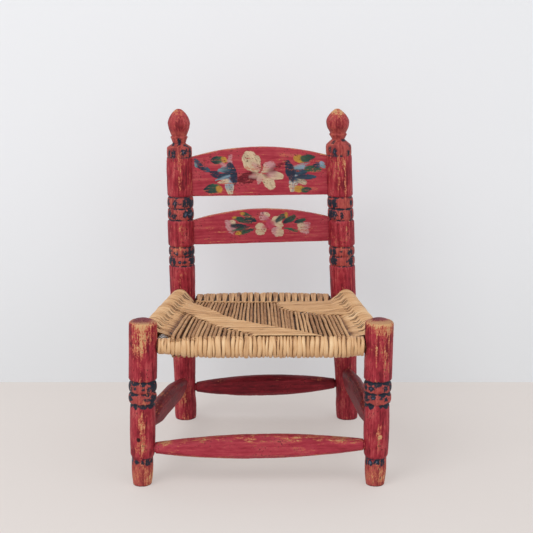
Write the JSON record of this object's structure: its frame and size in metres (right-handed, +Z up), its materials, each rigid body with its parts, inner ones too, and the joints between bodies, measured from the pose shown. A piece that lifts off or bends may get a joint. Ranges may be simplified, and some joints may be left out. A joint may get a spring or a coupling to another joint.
{
  "type": "child's ladder-back chair",
  "caption": "Small painted ladder-back chair with turned posts, arched flowered slats, hewn stretchers and a woven palm seat for a young child to sit on.",
  "frame": {"origin": "on the floor under the middle of the chair's outer box", "axes": "+X to the right seen from the front, +Y to the back, +Z up"},
  "size_m": [0.3322, 0.2942, 0.458],
  "materials": {
    "painted_wood": "hand-painted red with dark turned bands, worn to bare wood",
    "flower_slat": "hand-painted red with simple flowers and leaves",
    "palm_cord": "twisted dry palm leaf",
    "palm_strand": "flat dry palm leaf, slightly glossy"
  },
  "bodies": {
    "root": {"front_leg_left": "painted_wood", "front_leg_right": "painted_wood", "rear_post_left": "painted_wood", "rear_post_right": "painted_wood", "seat_rail_front": "painted_wood", "seat_rail_rear": "painted_wood", "seat_rail_left": "painted_wood", "seat_rail_right": "painted_wood", "stretcher_front": "painted_wood", "stretcher_rear": "painted_wood", "stretcher_left": "painted_wood", "stretcher_right": "painted_wood", "top_slat": "flower_slat", "lower_slat": "flower_slat", "seat_warp": "palm_cord", "seat_weft": "palm_strand"}
  },
  "joints": []
}
